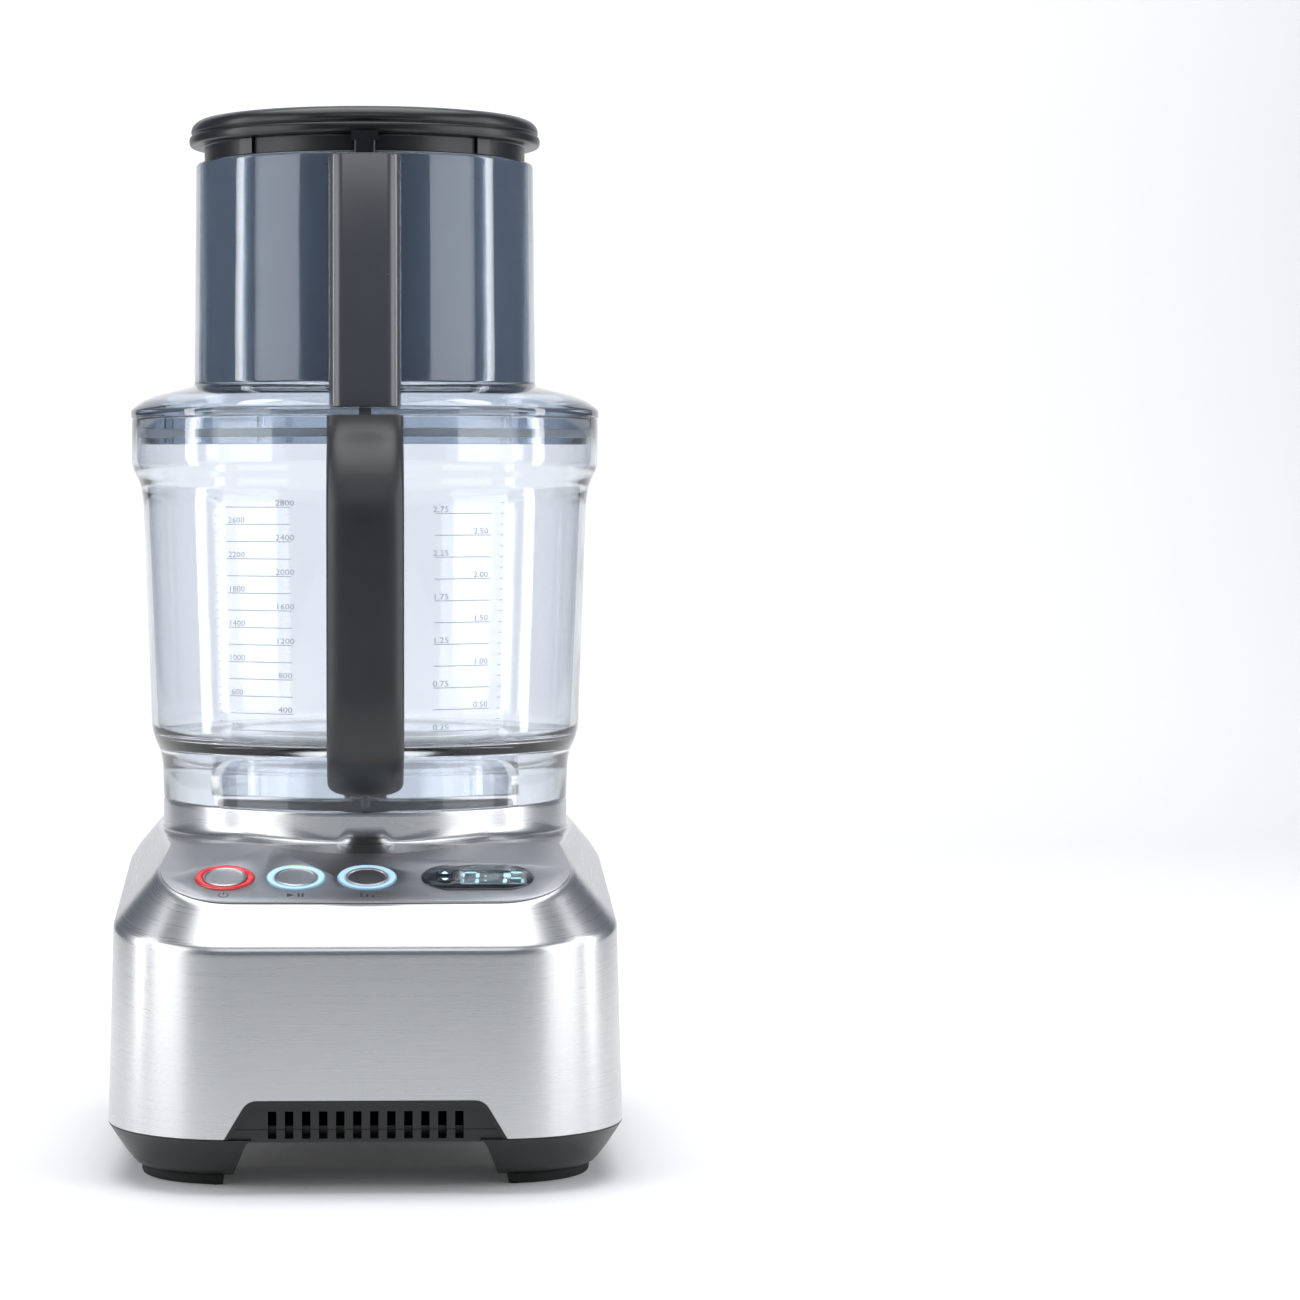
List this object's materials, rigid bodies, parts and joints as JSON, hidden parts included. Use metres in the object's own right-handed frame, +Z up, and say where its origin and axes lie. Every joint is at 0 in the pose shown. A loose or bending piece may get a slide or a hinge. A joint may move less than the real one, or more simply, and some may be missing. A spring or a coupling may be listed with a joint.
{
  "type": "food processor",
  "caption": "Upright food processor: brushed steel motor base with sloped button panel, clear bowl with a dark handle, and a clear lid with a wide chute and pusher.",
  "frame": {"origin": "middle of the base's footprint, on the surface that the machine stands on", "axes": "+Z up; the control panel and the handle face -Y; +X to the right of someone facing the panel. The drive axis is vertical at y = +0.029 m."},
  "size_m": [0.212, 0.272, 0.4432],
  "materials": {
    "brushed_housing": "brushed",
    "satin_panel": "satin",
    "black_moulding": "satin",
    "rubber": "matte",
    "clear_copolyester": "polished",
    "smoke_copolyester": "polished",
    "grip_moulding": "satin",
    "post_moulding": "satin",
    "button_steel": "spun",
    "red_light": "diffusing",
    "blue_light": "diffusing",
    "display_lens": "gloss",
    "lcd_glass": "lit",
    "key_moulding": "satin",
    "circuit_board": "lacquered",
    "bright_steel": "turned",
    "lamination_steel": "stacked sheet",
    "copper_wire": "enamelled",
    "cast_aluminium": "cast",
    "pale_moulding": "satin",
    "silicone": "matte",
    "rod_moulding": "satin"
  },
  "bodies": {
    "base": {"rubber_feet": "rubber", "undertray": "black_moulding", "case_screws": "bright_steel", "housing": "brushed_housing", "cord_gland": "rubber", "control_panel": "satin_panel", "power_ring": "red_light", "light_rings": "blue_light", "display_window": "display_lens", "lcd_module": "lcd_glass", "control_board": "circuit_board", "key_switches": "black_moulding", "board_screws": "bright_steel", "interlock_switch": "black_moulding", "motor_mounts": "rubber", "lower_bracket": "cast_aluminium", "lower_bearing": "bright_steel", "motor_stator": "lamination_steel", "motor_windings": "copper_wire", "upper_bracket": "cast_aluminium", "upper_bearing": "bright_steel", "tie_bolts": "bright_steel", "spindle_boss": "pale_moulding", "spindle_seal": "rubber", "lock_ring": "rod_moulding"},
    "drive": {"motor_rotor": "lamination_steel", "motor_shaft": "bright_steel", "cooling_fan": "black_moulding", "drive_spindle": "rod_moulding"},
    "power_button": {"power_button": "button_steel"},
    "start_button": {"start_button": "button_steel"},
    "pulse_button": {"pulse_button": "button_steel"},
    "timer_up_key": {"timer_up_key": "key_moulding"},
    "timer_down_key": {"timer_down_key": "key_moulding"},
    "bowl": {"bowl": "clear_copolyester", "handle_shell": "grip_moulding", "handle_liner": "grip_moulding", "handle_screws": "bright_steel", "rod_spring": "bright_steel"},
    "handle_rod": {"handle_rod": "rod_moulding"},
    "lid": {"lid": "clear_copolyester", "lid_seal": "silicone", "chute_post": "post_moulding"},
    "lid_rod": {"lid_rod": "rod_moulding"},
    "pusher": {"pusher_body": "smoke_copolyester", "pusher_cap": "black_moulding"},
    "small_pusher": {"small_pusher": "smoke_copolyester", "small_pusher_cap": "black_moulding"}
  },
  "joints": [
    {"name": "drive_spin", "type": "hinge", "parent": "base", "child": "drive", "pos_m": [0, 0.029, 0.1], "axis": [0, 0, 1], "continuous": true},
    {"name": "power_press", "type": "slide", "parent": "base", "child": "power_button", "axis": [0, 0.309, -0.9511], "range_m": [0, 0.0012], "stiffness_N_per_m": 400},
    {"name": "start_press", "type": "slide", "parent": "base", "child": "start_button", "axis": [0, 0.309, -0.9511], "range_m": [0, 0.0012], "stiffness_N_per_m": 400},
    {"name": "pulse_press", "type": "slide", "parent": "base", "child": "pulse_button", "axis": [0, 0.309, -0.9511], "range_m": [0, 0.0012], "stiffness_N_per_m": 400},
    {"name": "timer_up_press", "type": "slide", "parent": "base", "child": "timer_up_key", "axis": [0, 0.309, -0.9511], "range_m": [0, 0.0005], "stiffness_N_per_m": 400},
    {"name": "timer_down_press", "type": "slide", "parent": "base", "child": "timer_down_key", "axis": [0, 0.309, -0.9511], "range_m": [0, 0.0005], "stiffness_N_per_m": 400},
    {"name": "bowl_lift", "type": "slide", "parent": "base", "child": "bowl", "axis": [0, 0, 1], "range_m": [0, 0.09]},
    {"name": "handle_rod_press", "type": "slide", "parent": "bowl", "child": "handle_rod", "axis": [0, 0, -1], "range_m": [0, 0.004], "stiffness_N_per_m": 300, "springref_m": -0.002, "deforming": ["rod_spring"]},
    {"name": "lid_lift", "type": "slide", "parent": "bowl", "child": "lid", "axis": [0, 0, 1], "range_m": [0, 0.06]},
    {"name": "lid_rod_press", "type": "slide", "parent": "lid", "child": "lid_rod", "axis": [0, 0, -1], "range_m": [0, 0.004]},
    {"name": "pusher_lift", "type": "slide", "parent": "lid", "child": "pusher", "axis": [0, 0, 1], "range_m": [0, 0.105]},
    {"name": "small_pusher_lift", "type": "slide", "parent": "pusher", "child": "small_pusher", "axis": [0, 0, 1], "range_m": [0, 0.12]}
  ],
  "couplings": [
    {"joint": "lid_rod_press", "follows": "handle_rod_press", "ratio": 1}
  ]
}
